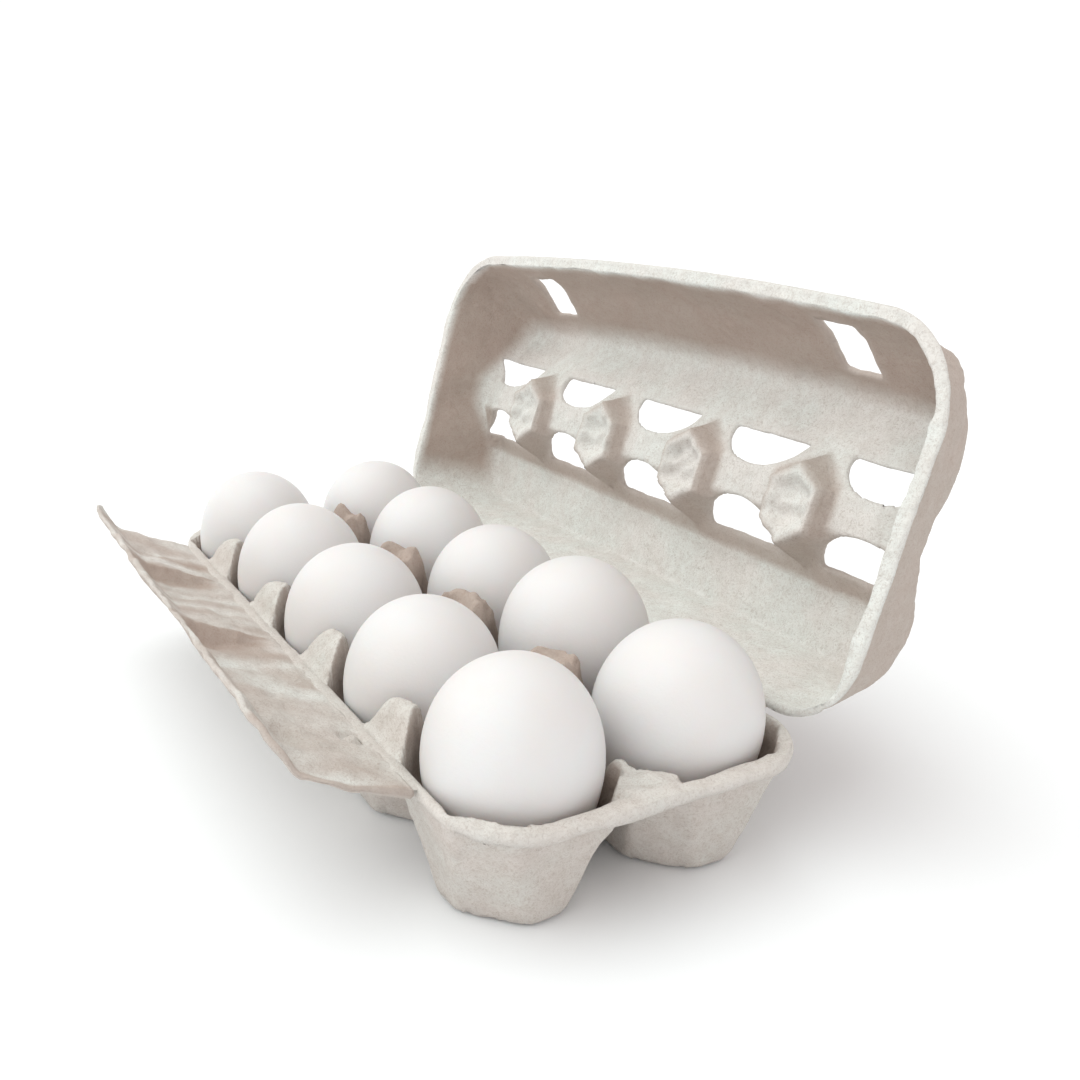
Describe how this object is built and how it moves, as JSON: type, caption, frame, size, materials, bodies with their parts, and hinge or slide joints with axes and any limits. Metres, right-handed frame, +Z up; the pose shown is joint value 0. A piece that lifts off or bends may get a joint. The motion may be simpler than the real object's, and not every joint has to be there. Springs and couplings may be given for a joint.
{
  "type": "egg carton with eggs",
  "caption": "Open moulded-pulp egg carton in two rows of cups, eggs standing in them, lid laid back on its hinge and locking flap folded out.",
  "frame": {"origin": "centre of the open carton's bounding box, on the plane the tray stands on", "axes": "+X along the rows of cups, +Z up, +Y towards the lid's hinge, so the flap is on the -Y side"},
  "size_m": [0.25, 0.1892, 0.1387],
  "materials": {
    "pulp": "rough grey-brown moulded paper pulp with visible fibres",
    "eggshell": "white hen's eggshell, matt with fine pores"
  },
  "bodies": {
    "tray_with_eggs": {"tray": "pulp", "egg_front_1": "eggshell", "egg_front_2": "eggshell", "egg_front_3": "eggshell", "egg_front_4": "eggshell", "egg_front_5": "eggshell", "egg_back_1": "eggshell", "egg_back_2": "eggshell", "egg_back_3": "eggshell", "egg_back_4": "eggshell", "egg_back_5": "eggshell"},
    "lid": {"lid": "pulp"},
    "flap": {"flap": "pulp"}
  },
  "joints": [
    {"name": "lid_hinge", "type": "hinge", "parent": "tray_with_eggs", "child": "lid", "pos_m": [0, 0.03918, 0.0348], "axis": [1, 0, 0], "range_deg": [0, 97]},
    {"name": "flap_hinge", "type": "hinge", "parent": "tray_with_eggs", "child": "flap", "pos_m": [0, -0.06152, 0.0336], "axis": [-1, 0, 0], "range_deg": [0, 85]}
  ]
}
